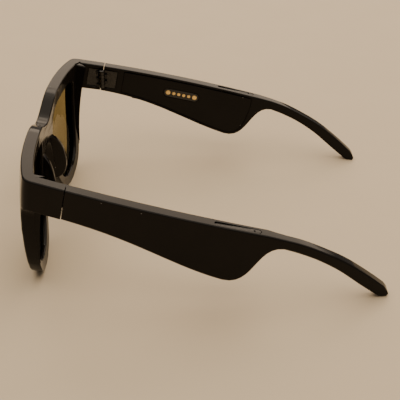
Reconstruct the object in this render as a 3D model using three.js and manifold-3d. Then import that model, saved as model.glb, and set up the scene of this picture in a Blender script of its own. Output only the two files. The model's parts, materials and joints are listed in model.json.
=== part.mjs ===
// Audio smart glasses: a chunky moulded front with two tinted lenses and two deep
// temples that hold the speakers, the battery, the circuit board and the charging
// contacts. Millimetres.
//
// Everything is drawn in the wearer's frame: +X to the wearer's left, +Y towards
// the ears, +Z up, with the brow corner at y = 0 and the top line at z = 0. At the
// end the whole set is tipped until the rims and the temple tips stand on z = 0.

import * as THREE from 'three';
import { mergeVertices } from 'three/addons/utils/BufferGeometryUtils.js';
import Module from 'manifold-3d';

const wasm = await Module();
wasm.setup();

// Overall sizes
const HALF_WIDTH = 67;
const FRONT_HEIGHT = 53.5;
const TEMPLE_REACH = 153.3;

// Front: plan curve, lean and rim
const BROW_CURVE = 6.1;
const BROW_POWER = 3.6;
const LEAN = 0.218;
const FACE_BULGE = 2.4;
const CORNER_ROUND = 3.2;
const RIM_DEPTH = 5.4;
const RIM_SIDE = 4.2;
const BROW_RIM = 7.5;
const LOWER_RIM = 4.2;
const LATERAL_RIM = 4.6;
const NASAL_RIM = 4.4;
const BRIDGE_DIP = 6;
const BRIDGE_HEIGHT = 10.8;
const BRIDGE_HALF = 11;
const LENS_MID_X = 37;
const ENDPIECE_HEIGHT = 13.3;
const RIDGE_DEPTH = 5;
const RIDGE_LENGTH = 44;
const SEAM_Y = 16.8;
const SEAM_GAP = 0.3;

// Nose rests moulded on the rims
const NOSE_TOP = 15;
const NOSE_LENGTH = 27;
const NOSE_REACH = 5.4;
const NOSE_THICK = 1.6;
const NOSE_ROUND = 0.7;
const NOSE_SPLAY = 0.27;
const NOSE_FLARE = 0.35;

// Lenses
const LENS_THICK = 2;
const LENS_SET_BACK = 1.6;
const LENS_BITE = 1;
const LENS_GAP = 0.3;

// Temples: plan bow, side profile
const TEMPLE_THICK = 5.8;
const ARM_THICK = 4.8;
const BOW = 6.6;
const TOE = 1.4;
const BOW_RUN = 150;
const TOP_FALL = 1.6;
const DEEP_Y = 84;
const DEEP_DROP = 25.1;
const NOTCH_Y = 105;
const NOTCH_DROP = 6.7;
const OUTER_WALL = 1.1;
const EDGE_WALL = 1.2;
const LEDGE = 0.7;
const COVER_THICK = 0.9;
const COVER_LEAD = 9.2;
const COVER_END_Y = 95.5;
const GAP = 0.3;

// Hinges
const KNUCKLES = 5;
const KNUCKLE_HEIGHT = 1.5;
const KNUCKLE_GAP = 0.2;
const BARREL_R = 1.6;
const BARREL_CLEARANCE = 0.5;
const PIN_R = 0.7;
const PIN_CLEARANCE = 0.08;
const HINGE_DROP = 6.6;
const PIN_LEAN = 0.2;
const HINGE_STAND_OFF = 1.5;
const LEAF_LENGTH = 7.2;
const LEAF_THICK = 0.9;
const SCREW_HEAD_R = 1.4;
const SCREW_HEAD = 0.7;
const SCREW_SLOT_WIDTH = 0.35;
const SCREW_SLOT_DEPTH = 0.3;
const SCREW_STAND_OFF = 0.1;
const LEAF_BORDER = 0.3;
const NECK_LENGTH = 2.4;
const NECK_OFFSET = 1.5;
const ROOT_OVERLAP = 0.1;

// Flexible ribbons
const RIBBON_THICK = 0.4;
const RIBBON_HEIGHT = 2;
const RIBBON_DROP = 3.3;
const RIBBON_DEPTH = 3.2;
const RIBBON_END_Y = 29.5;

// Speakers and their slots
const SLOT_Y = 76;
const SLOT_LENGTH = 18.5;
const SLOT_WIDTH = 2;
const GRILLE_THICK = 0.8;
const GRILLE_SET_IN = 0.3;
const SOUND_HOLE_R = 0.5;
const SOUND_HOLE_INSET = 2.6;
const DRIVER_LENGTH = 17;
const DRIVER_HEIGHT = 10;
const DRIVER_CLEARANCE = 0.5;
const MAGNET_R = 3.4;
const MAGNET_THICK = 1;
const GASKET_WALL = 0.5;
const GASKET_HEIGHT = 0.8;
const GASKET_INSET = 1;

// Battery, board and chips
const CELL_LENGTH = 38;
const CELL_HEIGHT = 8.8;
const CELL_THICK = 2.4;
const BOARD_LENGTH = 36;
const BOARD_HEIGHT = 7;
const BOARD_THICK = 0.8;
const CELL_Y = 31.5;
const BOARD_Y = 33;
const BAY_DROP = 2.8;

// Charging contacts on the inner face of the right temple
const CONTACT_FIRST_Y = 51.2;
const CONTACT_END_PITCH = 3;
const CONTACT_PITCH = 2.6;
const CONTACT_SMALL = 4;
const CONTACT_DROP = 8.5;
const CONTACT_BIG_R = 1.2;
const CONTACT_SMALL_R = 0.85;
const CONTACT_LENGTH = 1.3;
const CONTACT_GAP = 0.1;
const PAD_BORDER = 0.9;

// Push button under the right temple, its switch and the microphone
const BUTTON_Y = 37;
const BUTTON_LENGTH = 8;
const BUTTON_WIDTH = 2;
const BUTTON_PROUD = 0.6;
const BUTTON_TRAVEL = 0.35;
const FLANGE_CLEARANCE = 0.35;
const FLANGE_BORDER = 0.4;
const FLANGE_THICK = 0.6;
const FLANGE_LIFT = 0.8;
const SWITCH_CLEARANCE = 0.55;
const SWITCH_LENGTH = 3.6;
const SWITCH_HEIGHT = 1.2;
const MIC_LENGTH = 3;
const MIC_HEIGHT = 2;
const MIC_THICK = 1;
const MIC_Y = 30.5;
const MIC_DROP = 11.2;
const MIC_HOLE_R = 0.4;

// Wire core of each temple's arm
const CORE_R = 0.6;
const CORE_DROP = 4;
const CORE_END = 0.86;

// Flats ground where the set stands
const LAND_CUT = 0.3;

const COVER_Y = SEAM_Y + COVER_LEAD;

// Reach of the cutting solids: past everything, and a little past the front's width
const FAR = 200;
const WIDE = HALF_WIDTH + 2;
const CURVE_STEPS = 20;
const FACE_STEPS = 8;
const FACE_MARGIN = 1;
const OUTLINE_STEPS = 10;

// Geometry helpers

const VIEWS = {
  plan: new THREE.Matrix4(),
  side: new THREE.Matrix4().makeBasis(
    new THREE.Vector3(0, 1, 0), new THREE.Vector3(0, 0, 1), new THREE.Vector3(1, 0, 0)),
  front: new THREE.Matrix4().makeBasis(
    new THREE.Vector3(1, 0, 0), new THREE.Vector3(0, 0, 1), new THREE.Vector3(0, -1, 0)),
};

// Pushes a flat drawing between two levels: plan (x, y) along z, side (y, z) along x,
// front (x, z) along y.
function prism(shape, view, low, high) {
  const options = { depth: high - low, bevelEnabled: false, curveSegments: 12 };
  const geometry = new THREE.ExtrudeGeometry(shape, options);
  geometry.translate(0, 0, view === 'front' ? -high : low);
  geometry.applyMatrix4(VIEWS[view]);
  return solid(geometry);
}

function solid(geometry) {
  const plain = geometry.clone();
  plain.deleteAttribute('normal');
  plain.deleteAttribute('uv');
  const merged = mergeVertices(plain, 1e-4);
  const mesh = new wasm.Mesh({
    numProp: 3,
    vertProperties: new Float32Array(merged.attributes.position.array),
    triVerts: new Uint32Array(merged.index.array),
  });
  return new wasm.Manifold(mesh);
}

function geometryOf(body) {
  const mesh = body.getMesh();
  const geometry = new THREE.BufferGeometry();
  geometry.setAttribute('position', new THREE.BufferAttribute(mesh.vertProperties, 3));
  geometry.setIndex(new THREE.BufferAttribute(mesh.triVerts, 1));
  return geometry;
}

function rectangle(uLow, uHigh, vLow, vHigh) {
  return drawing([[uLow, vLow], [uHigh, vLow], [uHigh, vHigh], [uLow, vHigh]]);
}

function drawing(points) {
  return new THREE.Shape(points.map(([u, v]) => new THREE.Vector2(u, v)));
}

// A slot-shaped outline, longer along its first coordinate.
function stadium(length, width) {
  const r = width / 2;
  const straight = length / 2 - r;
  const shape = new THREE.Shape();
  shape.moveTo(-straight, -r);
  shape.lineTo(straight, -r);
  shape.absarc(straight, 0, r, -Math.PI / 2, Math.PI / 2, false);
  shape.absarc(-straight, 0, r, Math.PI / 2, Math.PI * 1.5, false);
  return shape;
}

function movedStadium(length, width, u, v) {
  const points = stadium(length, width).getPoints(8);
  return drawing(points.map((p) => [p.x + u, p.y + v]));
}

function spread(from, to, steps = CURVE_STEPS) {
  return Array.from({ length: steps + 1 }, (_, i) => from + ((to - from) * i) / steps);
}

// How far the front's face stands behind its top edge at a height: it leans back towards
// the cheeks and bulges forward in the middle.
function faceDrift(z) {
  const fromMiddle = (z + FRONT_HEIGHT / 2) / (FRONT_HEIGHT / 2);
  return -LEAN * z - FACE_BULGE * (1 - fromMiddle ** 2);
}

// Moves a geometry's points back with the face at their height.
function followFace(geometry) {
  const points = geometry.attributes.position;
  for (let i = 0; i < points.count; i += 1) {
    points.setY(i, points.getY(i) + faceDrift(points.getZ(i)));
  }
  return solid(geometry);
}

// Upright prism of a plan drawing whose walls follow the face of the front. With a taper,
// the foot of the prism comes that much further forward.
function facePrism(shape, taper = 0) {
  const depth = FRONT_HEIGHT + 2 * FACE_MARGIN;
  const geometry = new THREE.ExtrudeGeometry(shape, {
    depth, steps: FACE_STEPS, bevelEnabled: false, curveSegments: 6,
  });
  geometry.translate(0, 0, -FRONT_HEIGHT - FACE_MARGIN);
  const tapered = new THREE.Matrix4().makeShear(0, 0, 0, 0, 0, taper / FRONT_HEIGHT);
  return followFace(geometry.applyMatrix4(tapered));
}

// Curves that the front and the temples share

function browY(x) {
  return -BROW_CURVE * (1 - Math.abs(x / HALF_WIDTH) ** BROW_POWER);
}

function outerX(y) {
  const t = y / BOW_RUN;
  return HALF_WIDTH + BOW * 4 * t * (1 - t) - TOE * t;
}

function thicknessAt(y) {
  const t = THREE.MathUtils.smoothstep(y, COVER_END_Y, NOTCH_Y);
  return THREE.MathUtils.lerp(TEMPLE_THICK, ARM_THICK, t);
}

function topZ(y) {
  return -TOP_FALL * (y / 100) ** 2;
}

// Plan band of the front, between two depths behind its face.
function frontBand(near, far) {
  const xs = spread(-WIDE, WIDE, 2 * CURVE_STEPS);
  const face = xs.map((x) => [x, browY(x) + near]);
  const back = xs.map((x) => [x, browY(x) + far]).reverse();
  return drawing([...face, ...back]);
}

// Plan band of a temple, between two depths inside its outer face. A depth left out
// stands for the whole thickness.
function templeBand(near, far, fromY, toY) {
  const ys = spread(fromY, toY, 2 * CURVE_STEPS);
  const outer = ys.map((y) => [outerX(y) - near, y]);
  const inner = ys.map((y) => [outerX(y) - (far ?? thicknessAt(y)), y]).reverse();
  return drawing([...outer, ...inner]);
}

// Everything between two depths inside the outer face and inside a side drawing.
function templeSlice(shape, near, far, fromY = 0, toY = TEMPLE_REACH + 2) {
  const band = prism(templeBand(near, far, fromY, toY), 'plan', -FAR, FAR);
  return prism(shape, 'side', 0, FAR).intersect(band);
}

// Moves each point of a closed outline outwards by a distance.
function grown(points, distance) {
  const count = points.length;
  const area = THREE.ShapeUtils.area(points);
  return points.map((p, i) => {
    const before = points[(i + count - 1) % count];
    const after = points[(i + 1) % count];
    const along = after.clone().sub(before).normalize();
    const out = new THREE.Vector2(along.y, -along.x).multiplyScalar(Math.sign(area) * distance);
    return [p.x + out.x, p.y + out.y];
  });
}

// Front frame

// Plan of everything that belongs to the front, as wide as the temples and rounded at the
// two corners.
function frontPlan() {
  const startX = HALF_WIDTH - CORNER_ROUND;
  const side = new THREE.Path();
  side.moveTo(startX, -FAR / 8);
  side.lineTo(startX, browY(startX));
  side.quadraticCurveTo(HALF_WIDTH, 0, outerX(CORNER_ROUND), CORNER_ROUND);
  spread(CORNER_ROUND, SEAM_Y + FAR / 8, 8).slice(1).forEach((y) => side.lineTo(outerX(y), y));
  const right = side.getPoints(6).map((p) => [p.x, p.y]);
  const left = right.map(([x, y]) => [-x, y]).reverse();
  return drawing([...right, ...left]);
}

// Top edge of the front, from the middle of the bridge to where the brow runs level.
const TOP_EDGE = new THREE.CubicBezierCurve(
  new THREE.Vector2(0, -BRIDGE_DIP), new THREE.Vector2(9, -BRIDGE_DIP),
  new THREE.Vector2(12, -0.4), new THREE.Vector2(25, 0));

// Right half of the front's outline, from the top of the bridge round to its underside.
function frontOutline() {
  const rimX = HALF_WIDTH - RIM_SIDE;
  const half = new THREE.Path();
  half.setFromPoints(TOP_EDGE.getPoints(OUTLINE_STEPS));
  half.lineTo(WIDE, 0);
  half.lineTo(WIDE, -ENDPIECE_HEIGHT);
  half.lineTo(HALF_WIDTH - 0.6, -ENDPIECE_HEIGHT);
  half.quadraticCurveTo(rimX + 0.4, -ENDPIECE_HEIGHT - 0.8, rimX, -ENDPIECE_HEIGHT - 5);
  half.bezierCurveTo(rimX - 0.6, 7.5 - FRONT_HEIGHT, rimX - 6.3, -FRONT_HEIGHT,
    LENS_MID_X, -FRONT_HEIGHT);
  half.bezierCurveTo(LENS_MID_X - 16, -FRONT_HEIGHT, BRIDGE_HALF + 3.5, 11.5 - FRONT_HEIGHT,
    BRIDGE_HALF, 25.4 - FRONT_HEIGHT);
  half.bezierCurveTo(BRIDGE_HALF - 2.4, -BRIDGE_DIP - BRIDGE_HEIGHT - 3.5, BRIDGE_HALF / 2,
    -BRIDGE_DIP - BRIDGE_HEIGHT, 0, -BRIDGE_DIP - BRIDGE_HEIGHT);
  const right = half.getPoints(OUTLINE_STEPS).map((p) => [p.x, p.y]);
  const left = right.slice(1, -1).map(([x, z]) => [-x, z]).reverse();
  return drawing([...right, ...left]);
}

// Outline of the opening for the wearer's left lens.
function lensOpening() {
  const side = HALF_WIDTH - RIM_SIDE - LATERAL_RIM;
  const low = LOWER_RIM - FRONT_HEIGHT;
  const nasal = BRIDGE_HALF + NASAL_RIM;
  const shape = new THREE.Shape();
  shape.moveTo(nasal + 5, -BROW_RIM);
  shape.lineTo(side - 6, -BROW_RIM);
  shape.quadraticCurveTo(side - 0.4, -BROW_RIM, side, -BROW_RIM - 5.5);
  shape.bezierCurveTo(side + 0.4, 6.3 + low, side - 4.7, low, LENS_MID_X, low);
  shape.bezierCurveTo(LENS_MID_X - 12.5, low, nasal + 3.4, low + 9.8, nasal + 0.2, 22.3 + low);
  shape.bezierCurveTo(nasal - 2.8, 32 + low, nasal - 3.2, -BROW_RIM, nasal + 5, -BROW_RIM);
  const points = shape.getPoints(12);
  return points.filter((p, i) => i === 0 || p.distanceTo(points[i - 1]) > 0.01)
    .filter((p, i) => i === 0 || p.distanceTo(points[0]) > 0.01);
}

// A lens blank, or the groove that takes it when a clearance is given.
function lensBody(clearance = 0) {
  const outline = drawing(grown(lensOpening(), LENS_BITE + clearance));
  const near = LENS_SET_BACK - clearance;
  const far = LENS_SET_BACK + LENS_THICK + clearance;
  return prism(outline, 'front', -FAR / 4, FAR / 4).intersect(facePrism(frontBand(near, far)));
}

// Nose rest on the wearer's left rim: a rounded fin that reaches back from the rim.
function noseRest() {
  const root = RIM_DEPTH - BROW_CURVE;
  const low = -NOSE_TOP - NOSE_LENGTH;
  const fin = new THREE.Shape();
  fin.moveTo(root - 2.6, -NOSE_TOP);
  fin.bezierCurveTo(root + 1, -NOSE_TOP - 3, root + NOSE_REACH, -NOSE_TOP - 4,
    root + NOSE_REACH, 0.55 * low - 0.45 * NOSE_TOP);
  fin.bezierCurveTo(root + NOSE_REACH, low + 4, root + 1, low, root - 2.6, low);
  const geometry = new THREE.ExtrudeGeometry(fin, {
    depth: NOSE_THICK,
    bevelThickness: NOSE_ROUND,
    bevelSize: NOSE_ROUND,
    bevelOffset: -NOSE_ROUND,
    bevelSegments: 3,
    curveSegments: 10,
  });
  geometry.translate(0, 0, BRIDGE_HALF - 2.1);
  geometry.applyMatrix4(VIEWS.side);
  const splay = new THREE.Matrix4().set(
    1, NOSE_FLARE, -NOSE_SPLAY, -NOSE_FLARE * root - NOSE_SPLAY * NOSE_TOP,
    0, 1, 0, 0,
    0, 0, 1, 0,
    0, 0, 0, 1);
  return followFace(geometry.applyMatrix4(splay));
}

// Block that carries the hinge, and the ridge below it that runs down behind the rim and
// fades into it.
function endpiece(outline) {
  const block = rectangle(RIM_DEPTH - 1, SEAM_Y - SEAM_GAP / 2, -ENDPIECE_HEIGHT, 0);
  const outer = HALF_WIDTH - RIM_SIDE;
  const inner = outer - LATERAL_RIM + LENS_BITE + LENS_GAP;
  const inRim = RIM_DEPTH / 2;
  const taper = (RIDGE_DEPTH * FRONT_HEIGHT) / RIDGE_LENGTH;
  const ridge = facePrism(drawing([
    [outer, browY(outer) + inRim],
    [outer, browY(outer) + RIM_DEPTH],
    [inner, browY(inner) + RIM_DEPTH + RIDGE_DEPTH],
    [inner, browY(inner) + inRim],
  ]), taper);
  const reach = prism(rectangle(0, FAR, -RIDGE_LENGTH, -0.5), 'side', 0, FAR);
  const behindRim = ridge
    .intersect(reach)
    .intersect(prism(outline, 'front', -FAR / 4, FAR / 4))
    .intersect(facePrism(frontBand(inRim, RIM_DEPTH + RIDGE_DEPTH)));
  return templeSlice(block, 0, TEMPLE_THICK).add(behindRim);
}

// Plan path of the ribbon that joins the two temples through the brow. It dips with the
// top edge at the bridge.
function ribbonPath() {
  const endX = outerX(SEAM_Y) - RIBBON_DEPTH;
  const turnX = HALF_WIDTH - 10;
  const along = spread(-turnX, turnX, CURVE_STEPS).map((x) => [x, browY(x) + RIBBON_DEPTH]);
  const bend = [
    [HALF_WIDTH - 6, browY(turnX) + RIBBON_DEPTH + 2.2],
    [outerX(8) - RIBBON_DEPTH, 7.5],
    [endX, SEAM_Y - 1.5],
  ];
  const other = bend.map(([x, y]) => [-x, y]).reverse();
  const points = [...other, ...along, ...bend].map(([x, y]) => new THREE.Vector3(x, y, 0));
  return new THREE.CatmullRomCurve3(points);
}

// The ribbon, or its slot when the sizes are grown; each end runs on straight by a length.
function ribbonBody(halfThick, halfHeight, ends) {
  const path = ribbonPath().getSpacedPoints(3 * CURVE_STEPS);
  const last = path.length - 1;
  const near = [];
  const far = [];
  path.forEach((p, i) => {
    const along = path[Math.min(i + 1, last)].clone().sub(path[Math.max(i - 1, 0)]).normalize();
    const side = new THREE.Vector3(-along.y, along.x, 0).multiplyScalar(halfThick);
    near.push([p.x - side.x, p.y - side.y]);
    far.push([p.x + side.x, p.y + side.y]);
  });
  const lead = ([x, y]) => [x, y + ends];
  const nearSide = [lead(near[0]), ...near, lead(near[last])];
  const farSide = [lead(far[0]), ...far, lead(far[last])].reverse();
  const edge = TOP_EDGE.getPoints(OUTLINE_STEPS).map((p) => [p.x, p.y - RIBBON_DROP]);
  const left = edge.slice(1).map(([x, z]) => [-x, z]).reverse();
  const level = [[-FAR, -RIBBON_DROP], ...left, ...edge, [FAR, -RIBBON_DROP]];
  const low = level.map(([x, z]) => [x, z - halfHeight]);
  const high = level.map(([x, z]) => [x, z + halfHeight]).reverse();
  return prism(drawing([...nearSide, ...farSide]), 'plan', -FAR / 4, 0)
    .intersect(prism(drawing([...low, ...high]), 'front', -FAR, FAR));
}

// Hinge, in a frame whose z axis is the pin. The pin leans back as the front does, so that
// the temple tips drop a little as they fold.

const HINGE_X = outerX(SEAM_Y) - TEMPLE_THICK - HINGE_STAND_OFF;
const HINGE_FRAME = new THREE.Matrix4()
  .makeTranslation(HINGE_X, SEAM_Y, -HINGE_DROP)
  .multiply(new THREE.Matrix4().makeRotationX(Math.atan(PIN_LEAN)));
const KNUCKLE_PITCH = KNUCKLE_HEIGHT + KNUCKLE_GAP;
const BARREL_HEIGHT = KNUCKLES * KNUCKLE_PITCH - KNUCKLE_GAP;
const LEAF_HEIGHT = BARREL_HEIGHT + 2 * LEAF_BORDER;

function onHinge(geometry) {
  return solid(geometry.applyMatrix4(HINGE_FRAME));
}

function barrel(radius, height, z) {
  const cylinder = new THREE.CylinderGeometry(radius, radius, height, 20);
  cylinder.rotateX(Math.PI / 2);
  cylinder.translate(0, 0, z);
  return onHinge(cylinder);
}

function knuckleZ(index) {
  return (index - (KNUCKLES - 1) / 2) * KNUCKLE_PITCH;
}

// Recess or plate outline on the inner face, in front of the seam or behind it.
function leafDrawing(direction, border) {
  const start = SEAM_Y + direction * (SEAM_GAP + 0.1 - border);
  const end = SEAM_Y + direction * (LEAF_LENGTH + border);
  const low = -HINGE_DROP - LEAF_HEIGHT / 2 - border;
  const high = -HINGE_DROP + LEAF_HEIGHT / 2 + border;
  return rectangle(Math.min(start, end), Math.max(start, end), low, high);
}

// One leaf: a plate with its own knuckles, clear of the other leaf's. The front leaf
// (direction -1) has the even knuckles and the temple leaf the odd ones.
function hingeLeaf(direction) {
  const own = direction < 0 ? 0 : 1;
  let leaf = templeSlice(leafDrawing(direction, 0), TEMPLE_THICK - LEAF_THICK, TEMPLE_THICK);
  for (let i = 1 - own; i < KNUCKLES; i += 2) {
    leaf = leaf.subtract(barrel(BARREL_R + BARREL_CLEARANCE / 2,
      KNUCKLE_HEIGHT + 2 * KNUCKLE_GAP, knuckleZ(i)));
  }
  for (let i = own; i < KNUCKLES; i += 2) {
    const reach = BARREL_R + ROOT_OVERLAP;
    const neck = new THREE.BoxGeometry(reach, NECK_LENGTH, KNUCKLE_HEIGHT);
    neck.translate(reach / 2, direction * NECK_OFFSET, knuckleZ(i));
    leaf = leaf.add(barrel(BARREL_R, KNUCKLE_HEIGHT, knuckleZ(i))).add(onHinge(neck));
  }
  const headRoom = barrel(SCREW_HEAD_R + GAP, 2, BARREL_HEIGHT / 2 + 1);
  return leaf.subtract(headRoom).subtract(barrel(PIN_R + PIN_CLEARANCE, BARREL_HEIGHT + 2, 0));
}

// Space cut in the plastic for a leaf and for the barrel.
function hingeRecess(direction) {
  const pocket = templeSlice(leafDrawing(direction, GAP), TEMPLE_THICK - LEAF_THICK - GAP,
    TEMPLE_THICK + 2 * BARREL_R);
  const height = BARREL_HEIGHT + 2 * (SCREW_HEAD + 2 * GAP);
  return pocket.add(barrel(BARREL_R + BARREL_CLEARANCE, height, 0));
}

function hingeScrew() {
  const top = BARREL_HEIGHT / 2 + SCREW_STAND_OFF;
  const profile = [
    [0, -BARREL_HEIGHT / 2],
    [PIN_R, -BARREL_HEIGHT / 2],
    [PIN_R, top],
    [SCREW_HEAD_R, top],
    [SCREW_HEAD_R, top + SCREW_HEAD * 0.6],
    [SCREW_HEAD_R * 0.7, top + SCREW_HEAD],
    [0, top + SCREW_HEAD],
  ];
  const turned = new THREE.LatheGeometry(profile.map(([r, z]) => new THREE.Vector2(r, z)), 24);
  turned.rotateX(Math.PI / 2);
  const slot = new THREE.BoxGeometry(SCREW_SLOT_WIDTH, 3 * SCREW_HEAD_R, 2 * SCREW_SLOT_DEPTH);
  slot.translate(0, 0, top + SCREW_HEAD);
  return onHinge(turned).subtract(onHinge(slot));
}

// Front frame with its grooves, slots and hinge recesses
function frontFrame() {
  const outline = frontOutline();
  const rims = prism(outline, 'front', -FAR / 4, FAR / 4)
    .intersect(facePrism(frontBand(0, RIM_DEPTH)));
  const opening = prism(drawing(lensOpening().map((p) => [p.x, p.y])), 'front', -FAR, FAR);
  const oneSide = endpiece(outline).add(noseRest());
  const oneCut = opening.add(lensBody(LENS_GAP)).add(hingeRecess(-1));
  return rims
    .add(oneSide)
    .add(mirrored(oneSide))
    .intersect(facePrism(frontPlan()))
    .subtract(oneCut)
    .subtract(mirrored(oneCut))
    .subtract(ribbonBody(RIBBON_THICK / 2 + GAP, RIBBON_HEIGHT / 2 + GAP, 5));
}

// Temples

const BELLY = new THREE.CubicBezierCurve(
  new THREE.Vector2(SEAM_Y + SEAM_GAP / 2, -ENDPIECE_HEIGHT),
  new THREE.Vector2(SEAM_Y + 31, -ENDPIECE_HEIGHT - 1),
  new THREE.Vector2(DEEP_Y - 22, 2.6 - DEEP_DROP),
  new THREE.Vector2(DEEP_Y, -DEEP_DROP));

function bellyZ(y) {
  const points = BELLY.getPoints(60);
  const i = points.findIndex((p) => p.x >= y);
  const [a, b] = [points[i - 1], points[i]];
  return THREE.MathUtils.mapLinear(y, a.x, b.x, a.y, b.y);
}

// Arm behind the notch: share of the way from the notch to the tip, and drop.
const ARM_TOP = [[0.13, 3], [0.38, 6], [0.57, 9.2], [0.78, 14.2], [0.93, 18.3]];
const ARM_UNDER = [[0.72, 18.8], [0.51, 13.4], [0.31, 9.7], [0.13, 7.6]];
const TIP_DROP = 22.9;

function armPoint([share, drop]) {
  return new THREE.Vector2(THREE.MathUtils.lerp(NOTCH_Y, TEMPLE_REACH, share), -drop);
}

function templeSide() {
  const front = SEAM_Y + SEAM_GAP / 2;
  const shape = new THREE.Shape();
  shape.moveTo(front, topZ(front));
  spread(front, COVER_END_Y + 2, 10).slice(1).forEach((y) => shape.lineTo(y, topZ(y)));
  shape.splineThru(ARM_TOP.map(armPoint));
  const heel = armPoint([0.885, TIP_DROP]);
  shape.bezierCurveTo(TEMPLE_REACH + 1.4, -TIP_DROP + 1, TEMPLE_REACH - 0.4, -TIP_DROP - 1.9,
    heel.x, heel.y);
  shape.splineThru([...ARM_UNDER.map(armPoint), new THREE.Vector2(NOTCH_Y, -NOTCH_DROP)]);
  shape.bezierCurveTo(NOTCH_Y - 11, -NOTCH_DROP - 0.2, DEEP_Y + 13, -DEEP_DROP - 0.9,
    DEEP_Y, -DEEP_DROP);
  BELLY.getPoints(14).reverse().slice(1).forEach((p) => shape.lineTo(p.x, p.y));
  return shape;
}

// The hollow part of a temple's side, drawn inside its edge by a margin.
function hollowSide(margin) {
  const front = COVER_Y + margin;
  const end = COVER_END_Y - margin;
  const shape = new THREE.Shape();
  shape.moveTo(front, topZ(front) - margin);
  spread(front, end, 10).slice(1).forEach((y) => shape.lineTo(y, topZ(y) - margin));
  shape.lineTo(end, topZ(end) - margin - 6);
  shape.bezierCurveTo(end - 1.2, 9 - DEEP_DROP, end - 1.6, margin - DEEP_DROP - 0.4,
    DEEP_Y, margin - DEEP_DROP);
  spread(DEEP_Y - 4, front, 14).forEach((y) => shape.lineTo(y, bellyZ(y) + margin));
  return shape;
}

const CAVITY_MARGIN = EDGE_WALL + LEDGE;
const CAVITY_END_Y = COVER_END_Y - CAVITY_MARGIN;

function corePath(from, to) {
  const middle = [CAVITY_END_Y - 2, CAVITY_END_Y + 4]
    .map((y) => new THREE.Vector2(y, topZ(y) - CORE_DROP));
  const armMiddle = [[0.13, 5.3], [0.38, 8.3], [0.6, 12.8], [0.8, 17.6], [0.9, 19.6]]
    .map(armPoint);
  const points = [...middle, ...armMiddle].map((p) => new THREE.Vector3(
    outerX(p.x) - thicknessAt(p.x) / 2, p.x, p.y));
  const curve = new THREE.CatmullRomCurve3(points);
  return new THREE.CatmullRomCurve3(spread(from, to, 14).map((t) => curve.getPointAt(t)));
}

function rod(radius, path) {
  const circle = new THREE.Shape().absarc(0, 0, radius, 0, 2 * Math.PI);
  const options = { steps: 16, extrudePath: path, curveSegments: 5 };
  return solid(new THREE.ExtrudeGeometry(circle, options));
}

const CAVITY_DEPTH = TEMPLE_THICK - OUTER_WALL - COVER_THICK - GAP;
const SLOT_MID_Y = SLOT_Y + SLOT_LENGTH / 2;
const SLOT_MID_X = outerX(SLOT_MID_Y) - OUTER_WALL - CAVITY_DEPTH / 2;
const SLOT_TURN = Math.atan((outerX(SLOT_MID_Y + 5) - outerX(SLOT_MID_Y - 5)) / 10);

// Upright stadium prism that follows the temple's top at the speaker slot.
function slotPrism(length, width, low, high) {
  const options = { depth: high - low, bevelEnabled: false, curveSegments: 8 };
  const geometry = new THREE.ExtrudeGeometry(stadium(length, width), options);
  geometry.translate(0, 0, low);
  geometry.rotateZ(Math.PI / 2 - SLOT_TURN);
  geometry.translate(SLOT_MID_X, SLOT_MID_Y, topZ(SLOT_MID_Y));
  return solid(geometry);
}

function templeShell(right) {
  let shell = templeSlice(templeSide(), 0, undefined);
  const hollow = templeSlice(hollowSide(CAVITY_MARGIN), OUTER_WALL, TEMPLE_THICK + 1);
  const seat = templeSlice(hollowSide(EDGE_WALL), TEMPLE_THICK - COVER_THICK - GAP,
    TEMPLE_THICK + 1);
  const ribbonSlot = rectangle(SEAM_Y - 1, COVER_Y + CAVITY_MARGIN + 1,
    -RIBBON_DROP - RIBBON_HEIGHT / 2 - GAP, -RIBBON_DROP + RIBBON_HEIGHT / 2 + GAP);
  shell = shell
    .subtract(hollow)
    .subtract(seat)
    .subtract(templeSlice(ribbonSlot, RIBBON_DEPTH - RIBBON_THICK / 2 - GAP,
      RIBBON_DEPTH + RIBBON_THICK / 2 + GAP))
    .subtract(hingeRecess(1))
    .subtract(rod(CORE_R + GAP, corePath(0, CORE_END + 0.01)))
    .subtract(slotPrism(SLOT_LENGTH + 2 * GAP, SLOT_WIDTH + 2 * GAP, -CAVITY_MARGIN - 1, 2));
  if (!right) return shell;
  const hole = new THREE.CylinderGeometry(MIC_HOLE_R, MIC_HOLE_R, 2 * OUTER_WALL, 12);
  hole.rotateZ(Math.PI / 2);
  hole.translate(outerX(MIC_Y) - OUTER_WALL / 2, MIC_Y, -MIC_DROP);
  return shell.subtract(solid(hole)).subtract(buttonPrism(GAP, -4, 6));
}

function templeCover(right) {
  const cover = templeSlice(hollowSide(EDGE_WALL + GAP), TEMPLE_THICK - COVER_THICK,
    TEMPLE_THICK);
  return right ? cover.subtract(contactPad(GAP)) : cover;
}

function grille() {
  const plate = slotPrism(SLOT_LENGTH, SLOT_WIDTH, -GRILLE_SET_IN - GRILLE_THICK,
    -GRILLE_SET_IN);
  const hole = new THREE.CylinderGeometry(SOUND_HOLE_R, SOUND_HOLE_R, 4 * GRILLE_THICK, 16);
  hole.rotateX(Math.PI / 2);
  hole.translate(SLOT_MID_X, SLOT_MID_Y + SLOT_LENGTH / 2 - SOUND_HOLE_INSET, topZ(SLOT_MID_Y));
  return plate.subtract(solid(hole));
}

function gasket() {
  const high = -CAVITY_MARGIN - GAP;
  const width = CAVITY_DEPTH - 2 * GAP;
  const length = SLOT_LENGTH - 2 * GASKET_INSET;
  const outer = slotPrism(length, width, high - GASKET_HEIGHT, high);
  return outer.subtract(slotPrism(length - 2 * GASKET_WALL, width - 2 * GASKET_WALL,
    high - 2 * GASKET_HEIGHT, high + 1));
}

// Charging contacts

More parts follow.
